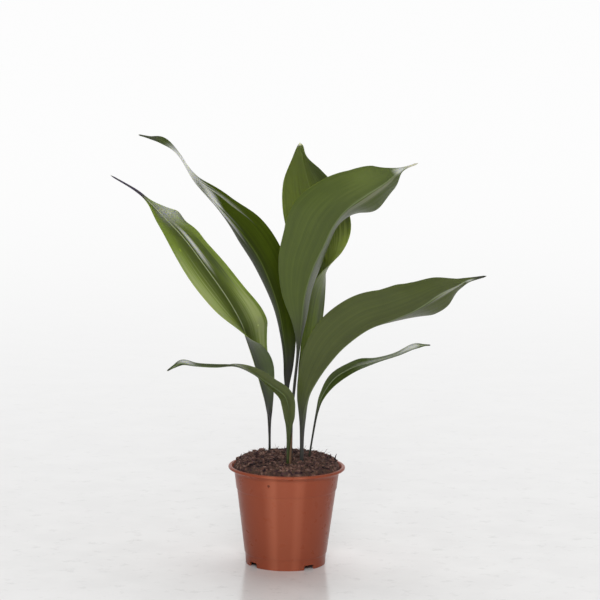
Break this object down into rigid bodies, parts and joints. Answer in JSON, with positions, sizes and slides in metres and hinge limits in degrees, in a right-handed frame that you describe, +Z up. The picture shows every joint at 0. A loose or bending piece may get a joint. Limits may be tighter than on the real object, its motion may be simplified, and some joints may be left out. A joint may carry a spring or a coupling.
{
  "type": "potted cast iron plant",
  "caption": "Potted cast iron plant: long pointed arching leaves on slim stalks, rising from a heap of soil in a tapered plastic nursery pot.",
  "frame": {"origin": "centre of the flat pad in the middle of the pot's underside, in the plane it stands on", "axes": "+Z up; -Y is the front, the side seen in the picture; +X is to its right"},
  "size_m": [0.4437, 0.1814, 0.5078],
  "materials": {
    "terracotta_plastic": "satin",
    "potting_soil": "matte, crumbly",
    "leaf_blade": "satin, finely ribbed along the blade",
    "dry_sheath": "dry, papery"
  },
  "bodies": {
    "root": {"pot": "terracotta_plastic", "soil": "potting_soil", "leaf_upper_left": "leaf_blade", "leaf_lower_left": "leaf_blade", "leaf_centre": "leaf_blade", "leaf_back": "leaf_blade", "leaf_right": "leaf_blade", "leaf_small_right": "leaf_blade", "leaf_small_left": "leaf_blade", "sheath": "dry_sheath"}
  },
  "joints": []
}
